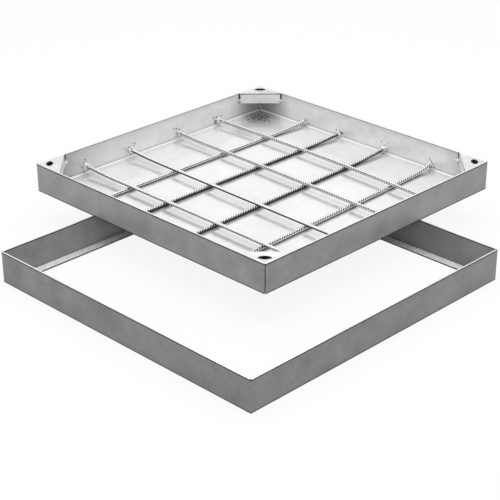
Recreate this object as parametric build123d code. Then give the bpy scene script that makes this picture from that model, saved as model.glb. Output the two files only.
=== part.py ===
from build123d import *
import os

# Recessed paving cover of galvanised steel: a square frame of bent angles, and the tray that it takes.
# The tray is filled with bedding and paving on site. It is lifted out here, and lies on the frame's rim.
# Millimetres. X runs from the front corner to the right one, Y from the front corner to the left one.
# The origin is the middle of the frame's clear opening, on the surface that the frame stands on.

# Frame
clear_opening = 600.0
ledge_width = 20.0
frame_height = 62.0
frame_sheet = 3.0
frame_bend_radius = 2.0
frame_heel_radius = 1.0

# Fit of the tray in the frame, when it is in place
side_clearance = 3.0
rim_drop = 0.5

# Tray
tray_sheet = 3.0
tray_bend_radius = 3.0
tray_heel_radius = 1.0
corner_gap = 1.5
corner_bead_leg = 4.0

# Where the lifted tray lies, from the middle of the frame
tray_shift_x = 210.0
tray_shift_y = 173.5

# Corner gussets with their key holes
gusset_leg = 65.0
gusset_sheet = 3.0
gusset_bend_radius = 1.0
gusset_heel_radius = 1.0
lip_depth = 23.5
lip_wall_gap = 1.5
tack_radius = 3.0
tack_drop = 17.0
key_hole_diameter = 13.0
key_slot_length = 23.5
key_slot_width = 4.8
key_hole_inset = 18.5

# Ribbed rods, laid by hand: the place of each at its first end, its middle and its last end
rod_diameter = 8.0
rod_fin_height = 0.5
rod_fin_width = 1.4
rod_end_gap = 3.0
rod_weld_radius = 6.5
lower_rod_places = ((181.0, 177.5, 173.0), (75.0, 75.0, 73.0), (-64.0, -59.0, -53.0), (-193.0, -188.0, -178.0))
upper_rod_places = ((-197.0, -192.5, -193.0), (-81.0, -77.0, -73.0), (50.0, 59.0, 63.0), (167.0, 181.5, 179.0))
# How far each end climbs to its weld, and over what length
lower_rod_rises = ((4.5, 4.4), (4.5, 4.8), (4.5, 5.5), (4.5, 8.0))
upper_rod_rises = ((1.5, 4.0), (1.5, 3.5), (1.5, 3.0), (1.5, 1.0))
lower_rise_lengths = ((45.0, 110.0), (45.0, 110.0), (45.0, 110.0), (45.0, 55.0))
upper_rise_lengths = ((95.0, 95.0), (95.0, 95.0), (95.0, 95.0), (95.0, 95.0))

# Worked out from the sizes above
frame_side = clear_opening + 2 * ledge_width
frame_half = frame_side / 2
tray_side = frame_side - 2 * (frame_sheet + side_clearance)
tray_half = tray_side / 2
tray_height = frame_height - frame_sheet - rim_drop
inner_half = tray_half - tray_sheet
lower_rod_level = tray_sheet + rod_diameter / 2
upper_rod_level = lower_rod_level + rod_diameter
tray_place = Pos(tray_shift_x, tray_shift_y, frame_height)

# Sides are named for where they face, and made by turning the front right one about the middle
side_turns = {"front_right": 0, "back_right": 90, "back_left": 180, "front_left": 270}
corner_turns = {"front": 0, "right": 90, "back": 180, "left": 270}


def rounded_block(side, bottom, top, radius):
    """Square block with its four bottom edges rounded and its upright edges sharp."""
    section = Pos(0, (bottom + top) / 2) * Rectangle(side, top - bottom)
    section = fillet(section.vertices().group_by(Axis.Y)[0], radius)
    bar = extrude(Plane.YZ * section, side / 2, both=True)
    return bar & Rot(0, 0, 90) * bar


def corner_box(half, size, bottom, top):
    """Square column in the front corner of a square, reaching inwards by size."""
    return Pos(-half, -half, bottom) * Box(size, size, top - bottom, align=(Align.MIN, Align.MIN, Align.MIN))


def bent_section(upright, flange, sheet, bend_radius, heel_radius):
    """L-section pressed with a tight heel: the upright leg on the Y axis, the flange along the X axis."""
    section = Rectangle(flange, upright, align=(Align.MIN, Align.MIN))
    section -= Pos(sheet, sheet) * Rectangle(flange, upright, align=(Align.MIN, Align.MIN))
    section = fillet(section.vertices().sort_by_distance((sheet, sheet))[0], bend_radius)
    return fillet(section.vertices().sort_by_distance((0, 0))[0], heel_radius)


def frame_angle():
    """Front right side of the frame: an angle mitred at both ends, its corners cut back for the weld."""
    section = bent_section(frame_height, ledge_width, frame_sheet, frame_bend_radius, frame_heel_radius)
    bar = extrude(Plane.YZ * Pos(-frame_half, 0) * section, frame_half, both=True)
    mitre = make_face(Polyline((0, 0), (-frame_side, -frame_side), (frame_side, -frame_side), close=True))
    bar &= extrude(mitre, frame_height)
    for turn in (0, 90):
        bar -= Rot(0, 0, turn) * corner_box(frame_half, frame_sheet, 0, frame_height)
    return bar


def frame_corner_weld():
    """Weld of the frame's front corner, ground round along the upright edge."""
    middle = frame_sheet - frame_half
    bead = Pos(middle, middle, 0) * Cylinder(frame_sheet, frame_height, align=(Align.CENTER, Align.CENTER, Align.MIN))
    bead &= corner_box(frame_half, frame_sheet, 0, frame_height)
    return bead & rounded_block(frame_side, 0, frame_height, frame_heel_radius)


def tray_pan():
    """Folded sheet: the floor and four walls, mitred at the corners with a narrow gap between them."""
    pan = rounded_block(tray_side, 0, tray_height, tray_heel_radius)
    pan -= rounded_block(2 * inner_half, tray_sheet, tray_height + tray_sheet, tray_bend_radius)
    # The gap runs along the diagonal, through the sheet and a little way into the corner
    depth = 2**0.5 * tray_sheet + corner_gap
    gap = Rot(0, 0, 45) * Pos(-(2**0.5) * tray_half, 0, 0) * Box(
        2 * depth, corner_gap, tray_height, align=(Align.CENTER, Align.CENTER, Align.MIN)
    )
    for turn in corner_turns.values():
        pan -= Rot(0, 0, turn) * gap
    return pan


def tray_corner_weld(pan):
    """Bead that closes the tray's front corner from inside, from the floor up to the gusset."""
    bead_height = tray_height - gusset_sheet - tray_sheet
    bead = Pos(-inner_half, -inner_half, tray_sheet) * Cylinder(
        corner_bead_leg, bead_height, align=(Align.CENTER, Align.CENTER, Align.MIN)
    )
    bead &= corner_box(inner_half, corner_bead_leg, 0, tray_height)
    return bead - pan


def key_hole():
    """Round hole for the lifting key, crossed by a slot square to the corner's diagonal."""
    hole = Circle(key_hole_diameter / 2) + Rot(0, 0, -45) * SlotOverall(key_slot_length, key_slot_width)
    place = key_hole_inset - tray_half
    return Pos(place, place, tray_height - lip_depth) * extrude(hole, lip_depth)


def corner_gusset():
    """Gusset of the front corner: a triangular plate flush with the rim, and a lip folded down along its long edge."""
    # The section has the lip upright and the plate as its flange, turned over so that the plate is on top
    plate_reach = gusset_leg / 2**0.5
    section = bent_section(lip_depth, plate_reach, gusset_sheet, gusset_bend_radius, gusset_heel_radius)
    middle = (gusset_leg / 2) - inner_half
    across = Plane(origin=(middle, middle, tray_height), x_dir=(-1, -1, 0), z_dir=(1, -1, 0))
    bent = extrude(across * section, gusset_leg, both=True)
    plate_space = corner_box(inner_half, gusset_leg, tray_height - gusset_sheet, tray_height)
    lip_space = corner_box(inner_half - lip_wall_gap, gusset_leg, tray_height - lip_depth, tray_height - gusset_sheet)
    return bent & (plate_space + lip_space) - key_hole()


def gusset_tacks(gusset, pan):
    """Two tack welds that join the lip of the front gusset to the walls."""
    near = lip_wall_gap / 2 - inner_half
    far = gusset_leg - inner_half - near - inner_half
    height = tray_height - tack_drop
    inside = corner_box(inner_half, 2 * gusset_leg, 0, tray_height)
    tacks = []
    for place in ((near, far), (far, near)):
        tack = Pos(*place, height) * Sphere(tack_radius) & inside
        tacks.append((tack - gusset - pan).solid())
    return tacks


def rod_line(places, level, rises, rise_lengths, along_x):
    """Centre line of a rod from wall to wall: a slight bow in plan, and a climb to the weld at each end."""
    reach = inner_half - rod_end_gap
    first, middle, last = places

    def spot(along, height):
        slope = (last - first) / (2 * reach)
        bow = ((last + first) / 2 - middle) / reach**2
        across = middle + slope * along + bow * along**2
        return Vector(along, across, height) if along_x else Vector(across, along, height)

    straight = abs((last + first) / 2 - middle) < 0.01
    stations = [spot(rise_lengths[0] - reach, level), spot(reach - rise_lengths[1], level)]
    run = Line(*stations) if straight else ThreePointArc(stations[0], spot(0, level), stations[1])
    edges = [run]
    for at, sign in ((0, -1), (1, 1)):
        heading = (run % at) * sign
        start = run @ at
        end = spot(sign * reach, level)
        end = start + heading * (end - start).length + Vector(0, 0, rises[at])
        edges.append(TangentArc(start, end, tangent=heading) if rises[at] else Line(start, end))
    return Wire([edge.edge() for edge in edges])


def rod(line):
    """Bar swept along its line, with the two fins that ribbed bar has along its sides."""
    start, heading = line @ 0, line % 0
    section = Circle(rod_diameter / 2) + Rectangle(rod_diameter + 2 * rod_fin_height, rod_fin_width)
    place = Plane(origin=start, x_dir=Vector(0, 0, 1).cross(heading), z_dir=heading)
    return sweep(place * section, path=line)


def rod_welds(line, bar, pan):
    """Weld round each end of a rod, between it and the wall."""
    inside = Box(2 * inner_half, 2 * inner_half, tray_height, align=(Align.CENTER, Align.CENTER, Align.MIN))
    welds = []
    for at in (0, 1):
        place = Plane(origin=line @ at, x_dir=(0, 0, 1), z_dir=line % at)
        weld = place * Sphere(rod_weld_radius) & inside
        welds.append((weld - bar - pan).solid())
    return welds


nodes = {}

angle = frame_angle()
for name, turn in side_turns.items():
    nodes[f"frame_angle_{name}"] = Rot(0, 0, turn) * angle
weld = frame_corner_weld()
for name, turn in corner_turns.items():
    nodes[f"frame_corner_weld_{name}"] = Rot(0, 0, turn) * weld

pan = tray_pan()
nodes["tray_pan"] = tray_place * pan
bead = tray_corner_weld(pan)
gusset = corner_gusset()
tacks = gusset_tacks(gusset, pan)
all_tacks = []
for name, turn in corner_turns.items():
    turned = tray_place * Rot(0, 0, turn)
    nodes[f"tray_corner_weld_{name}"] = turned * bead
    nodes[f"corner_gusset_{name}"] = turned * gusset
    all_tacks += [turned * tack for tack in tacks]
nodes["gusset_tacks"] = Compound(all_tacks)

rod_sets = {
    "lower": (lower_rod_places, lower_rod_level, lower_rod_rises, lower_rise_lengths, True),
    "upper": (upper_rod_places, upper_rod_level, upper_rod_rises, upper_rise_lengths, False),
}
for layer, (places, level, rises, lengths, along_x) in rod_sets.items():
    welds = []
    for number, (rod_places, rod_rises, rod_lengths) in enumerate(zip(places, rises, lengths), 1):
        line = rod_line(rod_places, level, rod_rises, rod_lengths, along_x)
        bar = rod(line)
        nodes[f"{layer}_rod_{number}"] = tray_place * bar
        welds += [tray_place * weld for weld in rod_welds(line, bar, pan)]
    nodes[f"{layer}_rod_welds"] = Compound(welds)

os.makedirs("parts", exist_ok=True)
for name, shape in nodes.items():
    export_step(shape, f"parts/{name}.step")
print(len(nodes), "nodes written")
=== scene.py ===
# Recessed paving cover of hot-dip galvanised steel: its square frame, and the tray lifted out and laid on the rim.
# Metres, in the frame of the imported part: X to the right corner, Y to the left corner, Z up.
import bpy
import bmesh
import math
import random
from mathutils import Matrix, Vector, noise


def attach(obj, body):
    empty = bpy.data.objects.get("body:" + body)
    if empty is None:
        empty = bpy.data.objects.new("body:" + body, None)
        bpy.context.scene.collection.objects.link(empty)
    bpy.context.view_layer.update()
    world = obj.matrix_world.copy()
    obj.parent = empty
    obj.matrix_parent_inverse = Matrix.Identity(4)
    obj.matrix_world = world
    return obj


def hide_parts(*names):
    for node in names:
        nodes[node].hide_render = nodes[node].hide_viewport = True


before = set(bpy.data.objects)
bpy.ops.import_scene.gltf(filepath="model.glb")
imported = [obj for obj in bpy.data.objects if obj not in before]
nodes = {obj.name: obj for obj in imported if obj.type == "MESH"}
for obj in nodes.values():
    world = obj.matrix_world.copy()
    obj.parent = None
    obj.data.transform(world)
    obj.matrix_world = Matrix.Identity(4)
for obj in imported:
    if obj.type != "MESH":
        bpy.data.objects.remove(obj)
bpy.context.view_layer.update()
scene = bpy.context.scene
luck = random.Random(4)
print("frame loaded:", len(nodes), "nodes")

# Camera, worked out from the corners of the frame and the tray in the photograph. Angles in degrees, film in mm.
view = {
    "place": (-1.69817, -1.69127, 1.24426), "turn": 44.8687, "pitch": 26.2430, "roll": -0.21252,
    "lens": 105.782, "film": 36.0, "farEnd": 50,
}
heading, pitch, roll = (math.radians(view[key]) for key in ("turn", "pitch", "roll"))
forward = Vector((math.cos(heading) * math.cos(pitch), math.sin(heading) * math.cos(pitch), -math.sin(pitch)))
level = Vector((math.sin(heading), -math.cos(heading), 0))
upright = level.cross(forward)
right = level * math.cos(roll) + upright * math.sin(roll)
up = upright * math.cos(roll) - level * math.sin(roll)
cameraData = bpy.data.cameras.new("camera")
cameraData.lens, cameraData.sensor_width, cameraData.clip_end = view["lens"], view["film"], view["farEnd"]
camera = bpy.data.objects.new("camera", cameraData)
scene.collection.objects.link(camera)
camera.matrix_world = Matrix.Translation(view["place"]) @ Matrix((right, up, -forward)).transposed().to_4x4()
scene.camera = camera
scene.view_settings.view_transform = "Standard"


def linear(hexColour):
    # An sRGB colour such as "#E8E9EA" as the linear values that a socket holds
    parts = [int(hexColour[i : i + 2], 16) / 255 for i in (1, 3, 5)]
    return tuple(c / 12.92 if c <= 0.04045 else ((c + 0.055) / 1.055) ** 2.4 for c in parts) + (1.0,)


def addNode(tree, kind, settings=None, inputs=None):
    # Inputs are given by name, by identifier or by number, each with a value or with the socket that feeds it
    node = tree.nodes.new(kind)
    for name, value in (settings or {}).items():
        setattr(node, name, value)
    for key, value in (inputs or {}).items():
        if isinstance(key, int):
            socket = node.inputs[key]
        else:
            socket = next(s for s in node.inputs if key in (s.identifier, s.name))
        if isinstance(value, bpy.types.NodeSocket):
            tree.links.new(value, socket)
        else:
            socket.default_value = value
    return node


def maths(tree, operation, *values):
    return addNode(tree, "ShaderNodeMath", {"operation": operation}, dict(enumerate(values))).outputs[0]


def vectorMaths(tree, operation, *values):
    node = addNode(tree, "ShaderNodeVectorMath", {"operation": operation}, dict(enumerate(values)))
    return node.outputs["Value" if operation in ("DISTANCE", "LENGTH") else "Vector"]


def axes(tree, vector):
    return addNode(tree, "ShaderNodeSeparateXYZ", None, {0: vector}).outputs


def vectorOf(tree, **parts):
    return addNode(tree, "ShaderNodeCombineXYZ", None, parts).outputs[0]


def mapped(tree, value, start, end, low=0.0, high=1.0):
    # low at start, high at end, in proportion between them and held beyond them
    inputs = {"Value": value, "From Min": start, "From Max": end, "To Min": low, "To Max": high}
    return addNode(tree, "ShaderNodeMapRange", None, inputs).outputs[0]


def mixed(tree, share, first, second):
    inputs = {"Factor_Float": share, "A_Float": first, "B_Float": second}
    return addNode(tree, "ShaderNodeMix", {"data_type": "FLOAT"}, inputs).outputs[0]


def laidOver(tree, share, colour, shade):
    inputs = {"Factor_Float": share, "A_Color": colour, "B_Color": linear(shade)}
    return addNode(tree, "ShaderNodeMix", {"data_type": "RGBA"}, inputs).outputs[2]


def cloudy(tree, place, width, detail, roughness):
    inputs = {"Vector": place, "Scale": 1 / width, "Detail": detail, "Roughness": roughness}
    return addNode(tree, "ShaderNodeTexNoise", None, inputs).outputs[0]


def newMaterial(name):
    material = bpy.data.materials.new(name)
    material.use_nodes = True
    material.node_tree.nodes.clear()
    return material, material.node_tree


# Materials. Hot-dip galvanised steel: zinc on bent sheet and ribbed bar. It has a soft metallic shine with cloudy
# patches, and is rougher on the outer faces. Its colour holds painted light and shade: pale on level faces and
# inside the tray, grey on the outer faces, with a painted dark line of shade along the edges.
# Some shades of the photograph are painted in as well, where a comment says so: they don't come from the light.
zinc = {
    "cloudNoise": (3.0, 0.5), "mottleNoise": (4.0, 0.6), "grainNoise": (1.0, 0.5), "mottleShare": 0.4,
    "colourRange": (0.32, 0.68), "roughRange": (0.3, 0.7), "fineWave": 0.08,
    "edgeHeights": (0.0, 0.062, 0.1205), "edgeLine": 0.0032, "edgeSpotReach": 0.010, "edgeSpotRange": (0.56, 0.66),
    "uprightRange": (0.8, 0.6),
    "patchPlace": (0.484, 0.4475, 0.062), "patchReach": 0.074, "patchCore": 0.012, "patchGrain": 0.0034,
    "patchShares": (0.20, 0.56), "patchEdge": (-0.01, 0.02), "patchRough": 0.55, "patchColour": "#343536",
    "trayMiddle": (0.210, 0.1735), "fadeCloud": (0.4, 0.75), "bandEdge": (0.6, 0.4),
}


def zincCoat(
    name, colours, cloud, mottle, roughness, metallic, wave,
    edge=None, roughPatch=False, pits=None, fades=(), bands=(), corners=(), keyHole=None, notches=None,
):
    # colours are the dull and the bright zinc. cloud and mottle are the widths of their patches, and wave is the
    # height of the bumps, in metres.
    material, tree = newMaterial(name)
    place = addNode(tree, "ShaderNodeTexCoord").outputs["Object"]
    clouds = cloudy(tree, place, cloud, *zinc["cloudNoise"])
    mottles = cloudy(tree, place, mottle, *zinc["mottleNoise"])
    both = mixed(tree, zinc["mottleShare"], clouds, mottles)
    share = mapped(tree, both, *zinc["colourRange"])
    colour = laidOver(tree, share, linear(colours[0]), colours[1])
    rough = mapped(tree, mottles, *zinc["roughRange"], *roughness)
    along = axes(tree, place)
    if edge:
        # A painted shade: a thin dark line along each rim and bottom edge, and darker spots near it, on upright
        # faces only
        nearest = None
        for height in zinc["edgeHeights"]:
            away = maths(tree, "ABSOLUTE", maths(tree, "SUBTRACT", along["Z"], height))
            nearest = away if nearest is None else maths(tree, "MINIMUM", nearest, away)
        line = mapped(tree, nearest, zinc["edgeLine"], zinc["edgeLine"] * 0.5, high=edge["line"])
        near = mapped(tree, nearest, zinc["edgeSpotReach"], 0.0)
        spots = mapped(tree, both, *zinc["edgeSpotRange"], high=edge["edgeSpots"])
        dark = maths(tree, "MAXIMUM", line, maths(tree, "MULTIPLY", near, spots))
        facing = axes(tree, addNode(tree, "ShaderNodeNewGeometry").outputs["True Normal"])["Z"]
        dark = maths(tree, "MULTIPLY", dark, mapped(tree, facing, *zinc["uprightRange"]))
        colour = laidOver(tree, dark, colour, edge["colour"])
    if roughPatch:
        # Coarse dark and bright grains in the back corner of the tray's floor: the zinc's spangle, darker towards
        # the corner as a painted shade under the back gusset
        far = vectorMaths(tree, "DISTANCE", place, zinc["patchPlace"])
        filled = mapped(tree, far, zinc["patchReach"], zinc["patchCore"], *zinc["patchShares"])
        grains = cloudy(tree, place, zinc["patchGrain"], *zinc["grainNoise"])
        speck = mapped(tree, maths(tree, "SUBTRACT", filled, grains), *zinc["patchEdge"])
        colour = laidOver(tree, speck, colour, zinc["patchColour"])
        rough = maths(tree, "MAXIMUM", rough, maths(tree, "MULTIPLY", speck, zinc["patchRough"]))
    for axis, start, end, shade, strength in fades:
        # A painted shade, from nothing at start to its strength at end, a little uneven
        low = mapped(tree, along[axis], start, end, high=strength)
        uneven = maths(tree, "MULTIPLY_ADD", share, *zinc["fadeCloud"])
        colour = laidOver(tree, maths(tree, "MULTIPLY", low, uneven), colour, shade)
    for middle, width, shade, strength in bands:
        # A painted level band: painted shade where it is darker, a painted highlight where it is paler
        away = maths(tree, "ABSOLUTE", maths(tree, "SUBTRACT", along["Z"], middle))
        inside = mapped(tree, away, *(width * part for part in zinc["bandEdge"]), high=strength)
        colour = laidOver(tree, inside, colour, shade)
    if notches:
        # Painted highlights: bright spots where the ribs end on a bar's fin, at their pitch along the bar
        turns = maths(tree, "MULTIPLY", along[notches["axis"]], 2 * math.pi / notches["pitch"])
        spot = mapped(tree, maths(tree, "SINE", turns), notches["from"], notches["from"] + notches["blur"])
        colour = laidOver(tree, spot, colour, notches["colour"])
    if corners or keyHole:
        # Towards the tray's corners: the two distances from its middle added up, and the difference between them
        sides = vectorMaths(tree, "SUBTRACT", place, (*zinc["trayMiddle"], 0.0))
        sides = axes(tree, vectorMaths(tree, "ABSOLUTE", sides))
        outward = maths(tree, "ADD", sides["X"], sides["Y"])
        across = maths(tree, "SUBTRACT", sides["X"], sides["Y"])
    for start, end, lowest, shade, strength in corners:
        # A painted shade between two distances towards each corner, above the lowest height
        near = mapped(tree, outward, start, end, high=strength)
        high = maths(tree, "GREATER_THAN", sides["Z"], lowest)
        colour = laidOver(tree, maths(tree, "MULTIPLY", near, high), colour, shade)
    if keyHole:
        # A painted shade: a dark oval round each key hole, so that it reads as large and as dark as in the
        # photograph
        oval = vectorOf(tree, X=maths(tree, "SUBTRACT", outward, keyHole["place"]), Y=across)
        away = vectorMaths(tree, "LENGTH", vectorMaths(tree, "DIVIDE", oval, (*keyHole["oval"], 1.0)))
        inside = mapped(tree, away, *keyHole["edge"], high=keyHole["strength"])
        colour = laidOver(tree, inside, colour, keyHole["colour"])
        rough = maths(tree, "MAXIMUM", rough, maths(tree, "MULTIPLY", inside, keyHole["rough"]))
    if pits:
        # Pits and slag in a weld: dark specks of the given width
        specks = cloudy(tree, place, pits["width"], *zinc["grainNoise"])
        speck = mapped(tree, specks, pits["from"], pits["from"] + pits["blur"])
        colour = laidOver(tree, speck, colour, pits["colour"])
    bump = addNode(tree, "ShaderNodeBump", None, {"Height": clouds, "Strength": 1.0, "Distance": wave})
    fineInputs = {"Height": mottles, "Strength": 1.0, "Distance": wave * zinc["fineWave"], "Normal": bump.outputs[0]}
    fine = addNode(tree, "ShaderNodeBump", None, fineInputs)
    inputs = {"Base Color": colour, "Roughness": rough, "Metallic": metallic, "Normal": fine.outputs[0]}
    shader = addNode(tree, "ShaderNodeBsdfPrincipled", None, inputs)
    addNode(tree, "ShaderNodeOutputMaterial", None, {"Surface": shader.outputs[0]})
    return material


darkEdge = {"colour": "#1C1D1E", "line": 1.0, "edgeSpots": 0.6}
softEdge = {"colour": "#5A5B5C", "line": 0.9, "edgeSpots": 0.25}
wallEdge = {"colour": "#4A4B4C", "line": 0.55, "edgeSpots": 0.2}

# Bright sheet: the tray's floor and the rims' tops, pale as painted light
brightSheet = zincCoat(
    "galvanisedSheetBright", ("#E8E9EA", "#F8F8F9"), 0.09, 0.012, (0.15, 0.21), 0.5, 0.0006,
    edge=softEdge, roughPatch=True,
)
# Inside of the tray's walls, pale as painted light. Painted shade: grey towards the rim, the foot and the left end,
# a band at the foot, darker corners, and a dark strip beside each gusset's lip, for the gap there.
wallSheet = zincCoat(
    "galvanisedWallInside", ("#E8E9EA", "#FEFEFE"), 0.08, 0.020, (0.28, 0.40), 0.35, 0.0008, edge=wallEdge,
    fades=(
        ("Z", 0.106, 0.1205, "#9C9D9E", 0.30), ("Z", 0.085, 0.066, "#A8A9AA", 0.15),
        ("X", 0.09, -0.04, "#8C8D8E", 0.50),
    ),
    bands=((0.0692, 0.0034, "#8C8D8E", 0.35),),
    corners=((0.525, 0.600, 0.0, "#6C6D6E", 0.50), (0.5535, 0.5555, 0.0975, "#1C1D1E", 0.95)),
)
# Top of the gussets, with the painted shade of a dark oval round each key hole
gussetSheet = zincCoat(
    "galvanisedGusset", ("#D2D3D4", "#F0F0F1"), 0.05, 0.010, (0.22, 0.32), 0.5, 0.0006, edge=softEdge,
    keyHole={
        "place": 0.591, "oval": (0.0102, 0.0170), "edge": (1.05, 0.95), "strength": 0.95, "rough": 0.6,
        "colour": "#1C1D1E",
    },
)
# Lip of the gussets. Painted shade: the dark line at its top. Painted highlight: the white line near its foot.
lipSheet = zincCoat(
    "galvanisedLip", ("#EAEBEC", "#FFFFFF"), 0.020, 0.006, (0.28, 0.40), 0.15, 0.0006,
    bands=((0.1186, 0.0026, "#4A4B4C", 0.8), (0.0984, 0.0030, "#FFFFFF", 0.9)),
)
# Inner bend between the tray's floor and its walls, a painted highlight: the brightest line in the tray
bendSheet = zincCoat("galvanisedBendInside", ("#FCFCFC", "#FFFFFF"), 0.05, 0.008, (0.30, 0.36), 0.15, 0.0002)
# Dull sheet, its grey a painted shade: the frame's walls and corner welds
dullShadedSheet = zincCoat(
    "galvanisedSheetDullShaded", ("#818283", "#A0A1A2"), 0.05, 0.009, (0.45, 0.58), 0.15, 0.0004, edge=darkEdge
)
# Ledge of the frame, paler than its walls as painted light
ledgeSheet = zincCoat("galvanisedLedge", ("#EAEBEC", "#FFFFFF"), 0.03, 0.006, (0.22, 0.34), 0.15, 0.0008)
# Inside of the frame's back right wall. Painted shadow of the tray: darker over all but its right end.
frameInside = zincCoat(
    "galvanisedFrameInside", ("#818283", "#A0A1A2"), 0.05, 0.009, (0.45, 0.58), 0.15, 0.0004, edge=darkEdge,
    fades=(("Y", -0.285, -0.185, "#2C2D2E", 0.35),),
)
# Outside of the tray, dull and grey as a painted shade, but a little paler than the frame as painted light
traySheet = zincCoat(
    "galvanisedTrayOutside", ("#989A9B", "#B2B3B4"), 0.05, 0.009, (0.45, 0.58), 0.15, 0.0004, edge=darkEdge
)
# Painted shade, a dark sheet: under and behind the gussets, and the open joints at the tray's corners
shadedSheet = zincCoat("galvanisedSheetUnderside", ("#2C2D2E", "#404142"), 0.04, 0.008, (0.55, 0.65), 0.6, 0.0003)
# Rods: the bright core, the ribs, and the flank, underside and fin in painted shade, with painted highlights on the
# fin, to follow the photograph
barZinc = zincCoat("galvanisedBar", ("#E8E9EA", "#F4F4F5"), 0.03, 0.004, (0.14, 0.20), 1.0, 0.0001)
barCrest = zincCoat("galvanisedBarRibs", ("#EDEDEE", "#F8F8F8"), 0.03, 0.004, (0.30, 0.40), 0.4, 0.0001)
barFlank = zincCoat("galvanisedBarFlank", ("#1E1F20", "#343536"), 0.03, 0.004, (0.40, 0.50), 0.5, 0.0001)
barUnder = zincCoat("galvanisedBarUnderside", ("#161718", "#262728"), 0.03, 0.004, (0.45, 0.60), 0.5, 0.0001)
barFin = zincCoat(
    "galvanisedBarFin", ("#1E1F20", "#343536"), 0.03, 0.004, (0.35, 0.45), 0.4, 0.0001,
    notches={"axis": "Y", "pitch": 0.00645, "from": 0.50, "blur": 0.3, "colour": "#F4F4F4"},
)
# Welds: bright zinc over the lumps, greyer beads in the tray's corners, and dark slag in the spatter
weldZinc = zincCoat(
    "galvanisedWeld", ("#F0F0F0", "#FFFFFF"), 0.02, 0.002, (0.22, 0.35), 0.3, 0.0001,
    pits={"width": 0.0026, "from": 0.57, "blur": 0.05, "colour": "#2A2B2C"},
)
weldBead = zincCoat(
    "galvanisedBead", ("#D0D1D2", "#F4F4F4"), 0.02, 0.002, (0.25, 0.40), 0.3, 0.0001,
    pits={"width": 0.0036, "from": 0.50, "blur": 0.05, "colour": "#2A2B2C"},
)
weldSlag = zincCoat("weldSlag", ("#242526", "#3A3B3C"), 0.02, 0.002, (0.45, 0.60), 0.3, 0.0001)
print("materials made")


# How the copies of CAD nodes are cleaned and their edges rounded: join in metres, the two angles in degrees
cleaning = {"join": 1e-6, "flatWithin": 0.3, "edgesFrom": 50, "edgeSteps": 2}


def ownMesh(node, name):
    # A clean copy of a CAD node: its loose triangles joined, and flat faces made whole again
    mesh = nodes[node].data.copy()
    mesh.materials.clear()
    work = bmesh.new()
    work.from_mesh(mesh)
    bmesh.ops.remove_doubles(work, verts=work.verts, dist=cleaning["join"])
    flat = math.radians(cleaning["flatWithin"])
    bmesh.ops.dissolve_limit(work, angle_limit=flat, verts=work.verts, edges=work.edges)
    work.to_mesh(mesh)
    work.free()
    mesh.name = name
    return placed(name, mesh)


def placed(name, data):
    piece = bpy.data.objects.new(name, data)
    scene.collection.objects.link(piece)
    return piece


def bakeModifiers(piece):
    # The evaluated shape becomes the piece's own plain mesh
    result = bpy.data.meshes.new_from_object(piece.evaluated_get(bpy.context.evaluated_depsgraph_get()))
    if piece.type == "MESH":
        piece.modifiers.clear()
        piece.data = result
        return piece
    name = piece.name
    bpy.data.objects.remove(piece)
    result.name = name
    return placed(name, result)


def growTree(piece, tree, inputs):
    # Runs a node tree on the piece with the named inputs, and bakes the result
    modifier = piece.modifiers.new(tree.name, "NODES")
    modifier.node_group = tree
    for item in tree.interface.items_tree:
        if item.in_out == "INPUT" and item.name in inputs:
            modifier[item.identifier] = inputs[item.name]
    return bakeModifiers(piece)


def finishPiece(piece, slot, *standsFor, smoothAngle=32):
    piece.data.shade_smooth()
    piece.data.set_sharp_from_angle(angle=math.radians(smoothAngle))
    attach(piece, "root")
    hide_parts(*standsFor)


def softenEdges(piece, width):
    bevel = piece.modifiers.new("edges", "BEVEL")
    bevel.width, bevel.segments = width, cleaning["edgeSteps"]
    bevel.limit_method, bevel.angle_limit = "ANGLE", math.radians(cleaning["edgesFrom"])
    return bakeModifiers(piece)


# Frame: four bent angles, dull grey as a painted shade on their walls, bright as painted light on the rim's top,
# pale as painted light on the ledge
frameSheet = {"half": 0.320, "sheet": 0.003, "edge": 0.00035, "inwardFrom": 0.5, "levelFrom": 0.75}
for side in ("front_right", "back_right", "back_left", "front_left"):
    angle = softenEdges(ownMesh(f"frame_angle_{side}", f"frameAngle_{side}"), frameSheet["edge"])
    for material in (dullShadedSheet, brightSheet, frameInside, ledgeSheet):
        angle.data.materials.append(material)
    # Each face gets painted light and shade: shaded walls, a lit rim top and ledge, and the tray's painted shadow
    # inside the back right wall
    for face in angle.data.polygons:
        beyond = face.center.x > frameSheet["half"] - frameSheet["sheet"] * 2
        inside = side == "back_right" and face.normal.x < -frameSheet["inwardFrom"] and beyond
        level = face.normal.z > frameSheet["levelFrom"]
        ledge = level and face.center.z < frameSheet["sheet"] * 2
        face.material_index = 2 if inside else (3 if ledge else int(level))
    finishPiece(angle, "frame_steel", f"frame_angle_{side}")
for corner in ("front", "right", "back", "left"):
    bead = ownMesh(f"frame_corner_weld_{corner}", f"frameCornerWeld_{corner}")
    bead.data.materials.append(dullShadedSheet)
    finishPiece(bead, "frame_steel", f"frame_corner_weld_{corner}")
print("frame made")

# Tray: the folded pan, pale inside as painted light and dull grey outside as painted shade, its corner beads and its
# gussets. The last sizes of each dict say from what lean a face counts as level, upright or facing a way, as parts
# of its normal.
tray = {
    "centre": (0.210, 0.1735), "floor": 0.062, "half": 0.314, "sheet": 0.003, "bend": 0.012, "edge": 0.0003,
    "outwardFrom": 0.3, "levelFrom": 0.97, "uprightBelow": 0.1,
}
gussets = {
    "leg": 0.065, "inner": 0.311, "seam": 0.0004, "sheet": 0.003, "lipSheets": 1.2,
    "lipFrom": 0.5, "backFrom": 0.3, "underFrom": 0.5, "uprightBelow": 0.5,
}


def facesOut(face, half, bottom):
    # True for the outer side of the sheet: the walls' outer faces, the outer bends and the underside
    across = [face.center[i] - tray["centre"][i] for i in (0, 1)]
    least = [tray["outwardFrom"] * abs(part) for part in across]
    outward = max(abs(across[i]) > half and face.normal[i] * across[i] > least[i] for i in (0, 1))
    return outward or face.center.z < bottom


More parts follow.
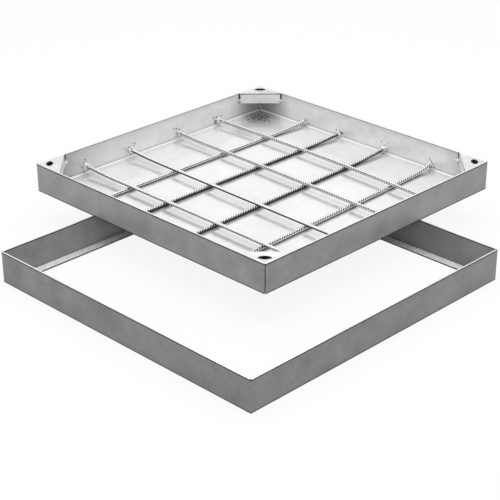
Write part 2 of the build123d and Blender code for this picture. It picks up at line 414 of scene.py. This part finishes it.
pan = softenEdges(ownMesh("tray_pan", "trayPan"), tray["edge"])
for material in (traySheet, brightSheet, wallSheet, bendSheet):
    pan.data.materials.append(material)
# Each face gets painted light and shade: the outer faces shaded, the floor and walls lit, and the bend as a painted
# highlight
for face in pan.data.polygons:
    outside = facesOut(face, tray["half"] - tray["sheet"] / 2, tray["floor"] + tray["sheet"] / 2)
    wall = face.normal.z < tray["uprightBelow"]
    rising = face.normal.z < tray["levelFrom"] and face.center.z < tray["floor"] + tray["bend"]
    face.material_index = 0 if outside else (2 if wall else (3 if rising else 1))
finishPiece(pan, "tray_steel", "tray_pan")
for corner, turn in (("front", 0), ("right", 90), ("back", 180), ("left", 270)):
    toMiddle = Matrix.Rotation(math.radians(turn), 3, "Z") @ Vector((1, 1, 0)).normalized()
    bead = ownMesh(f"tray_corner_weld_{corner}", f"trayCornerWeld_{corner}")
    for material in (weldBead, shadedSheet):
        bead.data.materials.append(material)
    for face in bead.data.polygons:
        # Painted shade: what the open joint shows is dark
        face.material_index = int(face.normal.dot(toMiddle) < -gussets["backFrom"])
    finishPiece(bead, "tray_steel", f"tray_corner_weld_{corner}")
    gusset = softenEdges(ownMesh(f"corner_gusset_{corner}", f"cornerGusset_{corner}"), gussets["seam"])
    for material in (gussetSheet, shadedSheet, lipSheet):
        gusset.data.materials.append(material)
    lipPlace = gussets["leg"] / math.sqrt(2) - gussets["sheet"] * gussets["lipSheets"]
    # Faces under and behind the lip get the painted shade, the lip its painted lines
    for face in gusset.data.polygons:
        inward = (face.center - Vector((*tray["centre"], 0))).dot(toMiddle) + gussets["inner"] * math.sqrt(2)
        facing = face.normal.dot(toMiddle)
        upright = abs(face.normal.z) < gussets["uprightBelow"]
        behindLip = facing < -gussets["backFrom"] or (upright and inward < lipPlace)
        hidden = behindLip or face.normal.z < -gussets["underFrom"]
        face.material_index = 1 if hidden else int(facing > gussets["lipFrom"]) * 2
    finishPiece(gusset, "tray_steel", f"corner_gusset_{corner}")
print("tray made")

# Ribbed bar: 8 mm, with two fins and two rows of slanting crescent ribs between them
bar = {
    "core": 0.0034, "coreSides": 20, "reach": 0.308, "step": 0.006, "finReach": 0.0045, "finWidth": 0.0012,
    "ribHeight": 0.0006, "ribWidth": 1.7, "ribSides": 8, "ribPoints": 9, "ribEnds": (14, 166), "ribTaper": 0.7,
}
# Each rod's own line, in millimetres: places are its two ends and its middle, and rises are how far it climbs to
# its weld at each end, over the lengths. The other sizes are in metres. under, flank, ribsFrom and fins say how much
# of each rod gets painted shade, set rod by rod to follow the photograph. A fin is bright (1), in painted shade
# (-1), or in painted shade with painted highlights (-2).
rodLines = {
    "lower": {
        "along": 0, "level": 0.007, "lengths": ((45, 110), (45, 110), (45, 110), (45, 55)),
        "places": ((181.0, 177.5, 173.0), (75.0, 75.0, 73.0), (-64.0, -59.0, -53.0), (-193.0, -188.0, -178.0)),
        "rises": ((4.5, 4.4), (4.5, 4.8), (4.5, 5.5), (4.5, 8.0)),
        "ribPitch": 0.00667, "ribSlant": -0.011, "under": ((-1.0, -0.2), (-1.0, -0.2), (-1.0, -0.2), (-1.0, -0.2)),
        "flank": (0.84, 0.90, 0.93, 0.93), "ribsFrom": (0.15, 0.25, 0.30, 0.25), "fins": (1.0, -1.0, -1.0, 1.0),
    },
    "upper": {
        "along": 1, "level": 0.015, "lengths": ((95, 95), (95, 95), (95, 95), (95, 95)),
        "places": ((-197.0, -192.5, -193.0), (-81.0, -77.0, -73.0), (50.0, 59.0, 63.0), (167.0, 181.5, 179.0)),
        "rises": ((1.5, 4.0), (1.5, 3.5), (1.5, 3.0), (1.5, 1.0)),
        "ribPitch": 0.00645, "ribSlant": 0.011,
        "under": ((-0.95, -0.05), (-0.6, 0.1), (-0.85, -0.05), (-0.85, -0.05)),
        "flank": (0.12, 0.42, 0.80, 0.78), "ribsFrom": (0.02, 0.10, 0.08, 0.06), "fins": (-2.0, -1.0, 1.0, 1.0),
    },
}


def newTree(name, floats, integers, materials):
    # An empty node tree with a shape and the named values going in, and a shape coming out
    tree = bpy.data.node_groups.new(name, "GeometryNodeTree")
    tree.interface.new_socket("Geometry", in_out="INPUT", socket_type="NodeSocketGeometry")
    for entries, kind in ((floats, "Float"), (integers, "Int"), (materials, "Material")):
        for entry in entries:
            tree.interface.new_socket(entry, in_out="INPUT", socket_type=f"NodeSocket{kind}")
    tree.interface.new_socket("Geometry", in_out="OUTPUT", socket_type="NodeSocketGeometry")
    return tree, addNode(tree, "NodeGroupInput").outputs


def stored(tree, geometry, name, value, kind="FLOAT", domain="FACE"):
    settings, inputs = {"data_type": kind, "domain": domain}, {"Geometry": geometry, "Name": name, "Value": value}
    return addNode(tree, "GeometryNodeStoreNamedAttribute", settings, inputs).outputs[0]


def recalled(tree, name, kind="FLOAT"):
    return addNode(tree, "GeometryNodeInputNamedAttribute", {"data_type": kind}, {"Name": name}).outputs["Attribute"]


def compared(tree, operation, first, second):
    return addNode(tree, "FunctionNodeCompare", {"operation": operation}, {"A": first, "B": second}).outputs[0]


def bothTrue(tree, first, second):
    return addNode(tree, "FunctionNodeBooleanMath", {"operation": "AND"}, {0: first, 1: second}).outputs[0]


def coated(tree, geometry, material, chosen=True):
    inputs = {"Geometry": geometry, "Selection": chosen, "Material": material}
    return addNode(tree, "GeometryNodeSetMaterial", None, inputs).outputs[0]


def swept(tree, line, profile, **inputs):
    inputs = {"Curve": line, "Profile Curve": profile, "Fill Caps": True, **inputs}
    return addNode(tree, "GeometryNodeCurveToMesh", None, inputs).outputs[0]


def joined(tree, parts):
    joint = addNode(tree, "GeometryNodeJoinGeometry")
    for part in parts:
        tree.links.new(part, joint.inputs[0])
    return addNode(tree, "GeometryNodeRealizeInstances", None, {"Geometry": joint.outputs[0]}).outputs[0]


def ribbedBarTree():
    floats = (
        "Core radius", "Rib pitch", "Rib height", "Rib width", "Rib slant", "Fin reach", "Fin width", "Flank level",
        "Ribs from", "Fin rise", "Under from", "Under to",
    )
    materials = ("Core material", "Crest material", "Flank material", "Underside material", "Fin material")
    tree, given = newTree("ribbedBar", floats, (), materials)
    line = addNode(tree, "GeometryNodeSetCurveNormal", {"mode": "Z_UP"}, {"Curve": given["Geometry"]}).outputs[0]
    circleInputs = {"Resolution": bar["coreSides"], "Radius": given["Core radius"]}
    core = swept(tree, line, addNode(tree, "GeometryNodeCurvePrimitiveCircle", None, circleInputs).outputs[0])
    finInputs = {"Width": maths(tree, "MULTIPLY", given["Fin reach"], 2.0), "Height": given["Fin width"]}
    fins = swept(tree, line, addNode(tree, "GeometryNodeCurvePrimitiveQuadrilateral", None, finInputs).outputs[0])
    fins = stored(tree, fins, "rise", given["Fin rise"])

    # One rib: a bead that runs over the bar from fin to fin, thin at its ends and slanting along the bar
    strokeInputs = {"Curve": addNode(tree, "GeometryNodeCurvePrimitiveLine").outputs[0], "Count": bar["ribPoints"]}
    stroke = addNode(tree, "GeometryNodeResampleCurve", None, strokeInputs).outputs[0]
    share = addNode(tree, "GeometryNodeSplineParameter").outputs["Factor"]
    angle = mapped(tree, share, 0.0, 1.0, *(math.radians(end) for end in bar["ribEnds"]))
    sine = maths(tree, "SINE", angle)
    across = maths(tree, "MULTIPLY", maths(tree, "COSINE", angle), given["Core radius"])
    over = maths(tree, "MULTIPLY", sine, given["Core radius"])
    slant = maths(tree, "MULTIPLY", maths(tree, "SUBTRACT", share, 0.5), given["Rib slant"])
    ribInputs = {"Geometry": stroke, "Position": vectorOf(tree, X=across, Y=over, Z=slant)}
    ribLine = addNode(tree, "GeometryNodeSetPosition", None, ribInputs).outputs[0]
    ribLine = addNode(tree, "GeometryNodeSetCurveNormal", {"mode": "Z_UP"}, {"Curve": ribLine}).outputs[0]
    circleInputs = {"Resolution": bar["ribSides"], "Radius": given["Rib height"]}
    ribShape = addNode(tree, "GeometryNodeCurvePrimitiveCircle", None, circleInputs).outputs[0]
    shapeInputs = {"Geometry": ribShape, "Scale": vectorOf(tree, X=1.0, Y=given["Rib width"], Z=1.0)}
    ribShape = addNode(tree, "GeometryNodeTransform", None, shapeInputs).outputs[0]
    rib = swept(tree, ribLine, ribShape, Scale=maths(tree, "POWER", sine, bar["ribTaper"]))

    # Two rows of ribs, half a turn and half a pitch apart. rise is how high each part of a rib lies on the bar:
    # 1 at the top, -1 underneath
    rows = []
    height = axes(tree, addNode(tree, "GeometryNodeInputPosition").outputs[0])["Y"]
    height = maths(tree, "DIVIDE", height, given["Core radius"])
    for turn, start in ((0.0, 0.0), (math.pi, 0.5)):
        runInputs = {"Curve": line, "Start_001": maths(tree, "MULTIPLY", given["Rib pitch"], start), "End_001": 10.0}
        run = addNode(tree, "GeometryNodeTrimCurve", {"mode": "LENGTH"}, runInputs).outputs[0]
        spotInputs = {"Curve": run, "Length": given["Rib pitch"]}
        spots = addNode(tree, "GeometryNodeCurveToPoints", {"mode": "LENGTH"}, spotInputs).outputs
        turnInputs = {"Rotation": spots["Rotation"], "Rotate By": (0, 0, turn)}
        turned = addNode(tree, "FunctionNodeRotateRotation", {"rotation_space": "LOCAL"}, turnInputs).outputs[0]
        rising = stored(tree, rib, "rise", maths(tree, "MULTIPLY", height, -math.cos(turn)))
        rowInputs = {"Points": spots["Points"], "Instance": rising, "Rotation": turned}
        rows.append(addNode(tree, "GeometryNodeInstanceOnPoints", None, rowInputs).outputs[0])
    marked = stored(tree, joined(tree, [fins] + rows), "crest", True, kind="BOOLEAN")
    whole = joined(tree, (core, marked))

    # Materials: crest for ribs and fins. The flank of the core below its level gets a painted shade, and so do the
    # lower ends of the ribs. What faces down between the two under levels gets a darker painted shade still.
    isCrest = recalled(tree, "crest", kind="BOOLEAN")
    facing = axes(tree, addNode(tree, "GeometryNodeInputNormal").outputs[0])["Z"]
    isBelow = compared(tree, "LESS_THAN", facing, given["Under to"])
    isUnder = bothTrue(tree, isBelow, compared(tree, "GREATER_THAN", facing, given["Under from"]))
    rise = recalled(tree, "rise")
    coreOver = maths(tree, "SUBTRACT", facing, given["Flank level"])
    ribOver = maths(tree, "SUBTRACT", rise, given["Ribs from"])
    isLow = compared(tree, "LESS_THAN", mixed(tree, isCrest, coreOver, ribOver), 0.0)
    isFlank = bothTrue(tree, isLow, compared(tree, "GREATER_THAN", facing, given["Under to"]))
    isSpotted = compared(tree, "LESS_THAN", rise, -1.5)
    whole = coated(tree, whole, given["Core material"])
    whole = coated(tree, whole, given["Crest material"], isCrest)
    whole = coated(tree, whole, given["Flank material"], isFlank)
    whole = coated(tree, whole, given["Underside material"], isUnder)
    whole = coated(tree, whole, given["Fin material"], isSpotted)
    addNode(tree, "NodeGroupOutput", None, {"Geometry": whole})
    return tree


def rodPath(layer, number):
    # The rod's centre line: a slight bow in plan, and a climb to the weld at each end
    rod = rodLines[layer]
    first, middle, last = (place / 1000 for place in rod["places"][number])
    rises, lengths = ([value / 1000 for value in rod[key][number]] for key in ("rises", "lengths"))
    reach = bar["reach"]
    steps = round(2 * reach / bar["step"])
    points = []
    for i in range(steps + 1):
        along = -reach + 2 * reach * i / steps
        side = middle + (last - first) / (2 * reach) * along + ((last + first) / 2 - middle) * (along / reach) ** 2
        beyond = [max(0, lengths[0] - reach - along) / lengths[0], max(0, along - reach + lengths[1]) / lengths[1]]
        height = rod["level"] + sum(rise * part**2 for rise, part in zip(rises, beyond))
        spot = (along, side) if rod["along"] == 0 else (side, along)
        points.append((tray["centre"][0] + spot[0], tray["centre"][1] + spot[1], tray["floor"] + height))
    return points


ribbedBar = ribbedBarTree()
barInputs = {
    "Core radius": bar["core"], "Rib height": bar["ribHeight"], "Rib width": bar["ribWidth"],
    "Fin reach": bar["finReach"], "Fin width": bar["finWidth"], "Core material": barZinc,
    "Crest material": barCrest, "Flank material": barFlank, "Underside material": barUnder, "Fin material": barFin,
}
for layer, lay in rodLines.items():
    for number in range(4):
        barInputs.update({
            "Rib pitch": lay["ribPitch"], "Rib slant": lay["ribSlant"], "Flank level": lay["flank"][number],
            "Ribs from": lay["ribsFrom"][number], "Fin rise": lay["fins"][number],
            "Under from": lay["under"][number][0], "Under to": lay["under"][number][1],
        })
        points = rodPath(layer, number)
        curve = bpy.data.curves.new("rodLine", "CURVE")
        curve.dimensions = "3D"
        spline = curve.splines.new("POLY")
        spline.points.add(len(points) - 1)
        spline.points.foreach_set("co", [value for point in points for value in (*point, 1)])
        rod = growTree(placed(f"{layer}Rod_{number + 1}", curve), ribbedBar, barInputs)
        finishPiece(rod, "rod_steel", f"{layer}_rod_{number + 1}", smoothAngle=50)
print("rods made")

# Welds: a lumpy cluster that closes each rod's end to the wall, and two tacks on each gusset's lip. Lengths in
# metres; root is the size of the ball at a rod's end, in bar cores.
welds = {
    "root": 1.2, "body": 0.0054, "inset": 0.0034, "lumps": 10, "lumpSizes": (0.0014, 0.0031), "lumpReach": 0.0072,
    "lumpSpread": (0.3, 1), "lumpInsets": (0.0034, 0.0008), "voxel": 0.0006, "unevenWidth": 0.0022, "uneven": 0.0006,
}
tacks = {
    "size": 0.0038, "height": 0.1035, "wallGap": 0.0022, "lipGap": 0.0008, "lumps": 4, "lumpSizes": (0.0013, 0.0021),
    "reach": 0.0050, "inward": 0.4,
}


def blobMesh(name, balls):
    work = bmesh.new()
    for centre, radius in balls:
        bmesh.ops.create_icosphere(work, subdivisions=3, radius=radius, matrix=Matrix.Translation(centre))
    mesh = bpy.data.meshes.new(name)
    work.to_mesh(mesh)
    work.free()
    return mesh


def remeshWeld(piece, material):
    # Joined into one skin, then made uneven
    remesh = piece.modifiers.new("remesh", "REMESH")
    remesh.mode, remesh.voxel_size = "VOXEL", welds["voxel"]
    piece = bakeModifiers(piece)
    mesh = piece.data
    lifts = [noise.noise(vertex.co / welds["unevenWidth"]) for vertex in mesh.vertices]
    moved = [vertex.co + vertex.normal * lift * welds["uneven"] for vertex, lift in zip(mesh.vertices, lifts)]
    for vertex, place in zip(mesh.vertices, moved):
        vertex.co = place
    mesh.materials.clear()
    mesh.materials.append(material)
    return piece


weldEnds = []
for layer, lay in rodLines.items():
    balls = []
    for number in range(4):
        points = rodPath(layer, number)
        for end, before in ((points[0], points[1]), (points[-1], points[-2])):
            axis = lay["along"]
            outward = Vector((0, 0, 0))
            outward[axis] = 1 if end[axis] > before[axis] else -1
            wall = Vector(end)
            wall[axis] = tray["centre"][axis] + outward[axis] * gussets["inner"]
            weldEnds.append((wall, axis))
            balls += [(Vector(end), bar["core"] * welds["root"]), (wall - outward * welds["inset"], welds["body"])]
            for lump in range(welds["lumps"]):
                turn = luck.uniform(0, 2 * math.pi)
                reach = welds["lumpReach"] * math.sqrt(luck.uniform(*welds["lumpSpread"]))
                side = Vector((math.cos(turn), math.cos(turn), 0)) * reach
                side[axis] = luck.uniform(*(-inset for inset in welds["lumpInsets"])) * outward[axis]
                side.z = math.sin(turn) * reach
                balls.append((wall + side, luck.uniform(*welds["lumpSizes"])))
    piece = placed(f"{layer}RodWelds", blobMesh(f"{layer}RodWelds", balls))
    finishPiece(remeshWeld(piece, weldZinc), "rod_steel", f"{layer}_rod_welds", smoothAngle=60)

# Two tacks hold each gusset's lip, one at each end, where it meets the wall
reach = (gussets["inner"] - tacks["wallGap"], gussets["inner"] - gussets["leg"] - tacks["lipGap"])
balls = []
for alongX in (-1, 1):
    for alongY in (-1, 1):
        for side in (0, 1):
            across = (tray["centre"][0] + alongX * reach[side], tray["centre"][1] + alongY * reach[1 - side])
            tack = Vector((*across, tacks["height"]))
            balls.append((tack, tacks["size"]))
            for lump in range(tacks["lumps"]):
                away = Vector([luck.uniform(-1, 1) for i in range(3)]) * tacks["reach"]
                away[side] = -abs(away[side]) * (alongX, alongY)[side] * tacks["inward"]
                balls.append((tack + away, luck.uniform(*tacks["lumpSizes"])))
piece = placed("gussetTacks", blobMesh("gussetTacks", balls))
finishPiece(remeshWeld(piece, weldZinc), "tray_steel", "gusset_tacks", smoothAngle=60)

# Spatter: specks of zinc and slag on the walls round each rod's weld. Densities are in specks per square metre.
spatter = {
    "near": 0.008, "far": 0.014, "nearDensity": 150000.0, "farDensity": 50000.0, "sizes": (0.0006, 0.0015),
    "slagShare": 0.32, "seed": 7, "slagSeed": 11, "aboveFloor": 0.005,
}


def spatterTree():
    floats = ("Smallest", "Largest", "Near density", "Far density", "Slag share")
    tree, given = newTree("weldSpatter", floats, ("Seed",), ("Speck material", "Slag material"))
    density = mixed(tree, recalled(tree, "near"), given["Far density"], given["Near density"])
    spotInputs = {"Mesh": given["Geometry"], "Density": density, "Seed": given["Seed"]}
    spots = addNode(tree, "GeometryNodeDistributePointsOnFaces", None, spotInputs).outputs[0]
    speck = addNode(tree, "GeometryNodeMeshIcoSphere", None, {"Radius": 1.0, "Subdivisions": 1}).outputs[0]
    sizeInputs = {"Min_001": given["Smallest"], "Max_001": given["Largest"], "Seed": given["Seed"]}
    size = addNode(tree, "FunctionNodeRandomValue", {"data_type": "FLOAT"}, sizeInputs).outputs[1]
    speckInputs = {"Points": spots, "Instance": speck, "Scale": size}
    specks = addNode(tree, "GeometryNodeInstanceOnPoints", None, speckInputs).outputs[0]
    chanceInputs = {"Min_001": 0.0, "Max_001": 1.0, "Seed": spatter["slagSeed"]}
    chance = addNode(tree, "FunctionNodeRandomValue", {"data_type": "FLOAT"}, chanceInputs).outputs[1]
    specks = stored(tree, specks, "chance", chance, domain="INSTANCE")
    whole = addNode(tree, "GeometryNodeRealizeInstances", None, {"Geometry": specks}).outputs[0]
    isSlag = compared(tree, "LESS_THAN", recalled(tree, "chance"), given["Slag share"])
    whole = coated(tree, whole, given["Speck material"])
    whole = coated(tree, whole, given["Slag material"], isSlag)
    addNode(tree, "NodeGroupOutput", None, {"Geometry": whole})
    return tree


# Patches of wall round each weld, kept above the floor's bend, that the specks lie on
corners, patches, marks = [], [], []
for wall, axis in weldEnds:
    for reach, mark in ((spatter["near"], 1.0), (spatter["far"], 0.0)):
        low = max(wall.z - reach, tray["floor"] + spatter["aboveFloor"])
        for across, height in ((-reach, low), (reach, low), (reach, wall.z + reach), (-reach, wall.z + reach)):
            corner = Vector(wall)
            corner[1 - axis] += across
            corner.z = height
            corners.append(corner)
        patches.append(tuple(range(len(corners) - 4, len(corners))))
        marks.append(mark)
mesh = bpy.data.meshes.new("weldSpatter")
mesh.from_pydata(corners, [], patches)
mesh.attributes.new("near", "FLOAT", "FACE").data.foreach_set("value", marks)
specksInputs = {
    "Smallest": spatter["sizes"][0], "Largest": spatter["sizes"][1], "Near density": spatter["nearDensity"],
    "Far density": spatter["farDensity"], "Seed": spatter["seed"], "Slag share": spatter["slagShare"],
    "Speck material": barCrest, "Slag material": weldSlag,
}
specks = growTree(placed("weldSpatter", mesh), spatterTree(), specksInputs)
specks.data.shade_smooth()
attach(specks, "root")
print("welds made")

# Studio: a pale floor, a soft light overhead and a fill. A dark flag behind the camera gives the metal something to
# show. Heights and turns of the flag are in degrees, as seen from the middle of the floor.
studio = {
    "white": "#FFFFFF", "floorColour": "#FAFAFA", "bounceColour": "#BEBEBE", "floorSize": 12.0, "floorShine": 0.90,
    "skyLight": 0.60, "overheadSize": 2.2, "overheadPlace": (0.35, 0.35, 2.2), "overheadPower": 28.0,
    "fillSize": 2.5, "fillPlace": (-2.1, -2.1, 2.0), "fillPower": 20.0,
    "flagColour": "#161616", "flagRadius": 3.4, "flagHeights": (0, 50), "flagTurns": (150, 300), "flagGrid": (24, 8),
}


def seenShare(tree, rays):
    # 1 for what is seen straight, in metal or through glass, 0 for the light it throws
    seen = maths(tree, "MAXIMUM", rays["Is Camera Ray"], rays["Is Glossy Ray"])
    return maths(tree, "MAXIMUM", seen, rays["Is Transmission Ray"])


def matt(tree, colour):
    return addNode(tree, "ShaderNodeBsdfDiffuse", None, {"Color": linear(colour)}).outputs[0]


def mixedShader(tree, share, first, second):
    return addNode(tree, "ShaderNodeMixShader", None, {0: share, 1: first, 2: second}).outputs[0]


world = bpy.data.worlds.new("studio")
scene.world = world
world.use_nodes = True
tree = world.node_tree
tree.nodes.clear()
seen = seenShare(tree, addNode(tree, "ShaderNodeLightPath").outputs)
skyInputs = {"Color": linear(studio["white"]), "Strength": mixed(tree, seen, studio["skyLight"], 1.0)}
sky = addNode(tree, "ShaderNodeBackground", None, skyInputs)
addNode(tree, "ShaderNodeOutputWorld", None, {"Surface": sky.outputs[0]})

# The floor is near white where it is seen, and throws back less light than that
floorMaterial, tree = newMaterial("studioFloor")
rays = addNode(tree, "ShaderNodeLightPath").outputs
pale, greyer = matt(tree, studio["floorColour"]), matt(tree, studio["bounceColour"])
white = addNode(tree, "ShaderNodeEmission", None, {"Color": linear(studio["white"]), "Strength": 1.0}).outputs[0]
lifted = mixedShader(tree, studio["floorShine"], pale, white)
bounced = mixedShader(tree, rays["Is Diffuse Ray"], pale, greyer)
floorSurface = mixedShader(tree, seenShare(tree, rays), bounced, lifted)
addNode(tree, "ShaderNodeOutputMaterial", None, {"Surface": floorSurface})


def stagePiece(name, points, faces, material):
    mesh = bpy.data.meshes.new(name)
    mesh.from_pydata(points, [], faces)
    mesh.materials.append(material)
    piece = placed(name, mesh)
    return piece


size = studio["floorSize"] / 2
floorCorners = [(-size, -size, 0), (size, -size, 0), (size, size, 0), (-size, size, 0)]
stagePiece("floor", floorCorners, [(0, 1, 2, 3)], floorMaterial)

flagMaterial, tree = newMaterial("studioFlag")
addNode(tree, "ShaderNodeOutputMaterial", None, {"Surface": matt(tree, studio["flagColour"])})
columns, rows = studio["flagGrid"]
lowest, highest = studio["flagHeights"]
firstTurn, lastTurn = studio["flagTurns"]
points, faces = [], []
for j in range(rows + 1):
    rise = math.radians(lowest + (highest - lowest) * j / rows)
    for i in range(columns + 1):
        turn = math.radians(firstTurn + (lastTurn - firstTurn) * i / columns)
        outward = Vector((math.cos(rise) * math.cos(turn), math.cos(rise) * math.sin(turn), math.sin(rise)))
        points.append(outward * studio["flagRadius"])
        if i < columns and j < rows:
            corner = j * (columns + 1) + i
            faces.append((corner, corner + 1, corner + columns + 2, corner + columns + 1))
flag = stagePiece("flag", points, faces, flagMaterial)
flag.visible_camera = flag.visible_diffuse = flag.visible_shadow = False  # only the shine shows it

overhead = bpy.data.lights.new("overhead", "AREA")
overhead.size, overhead.energy = studio["overheadSize"], studio["overheadPower"]
placed("overhead", overhead).location = studio["overheadPlace"]
fill = bpy.data.lights.new("fill", "AREA")
fill.size, fill.energy = studio["fillSize"], studio["fillPower"]
lamp = placed("fill", fill)
lamp.location = studio["fillPlace"]
lamp.rotation_euler = (-Vector(studio["fillPlace"])).to_track_quat("-Z", "Y").to_euler()
lamp.visible_glossy = False
print("studio made")
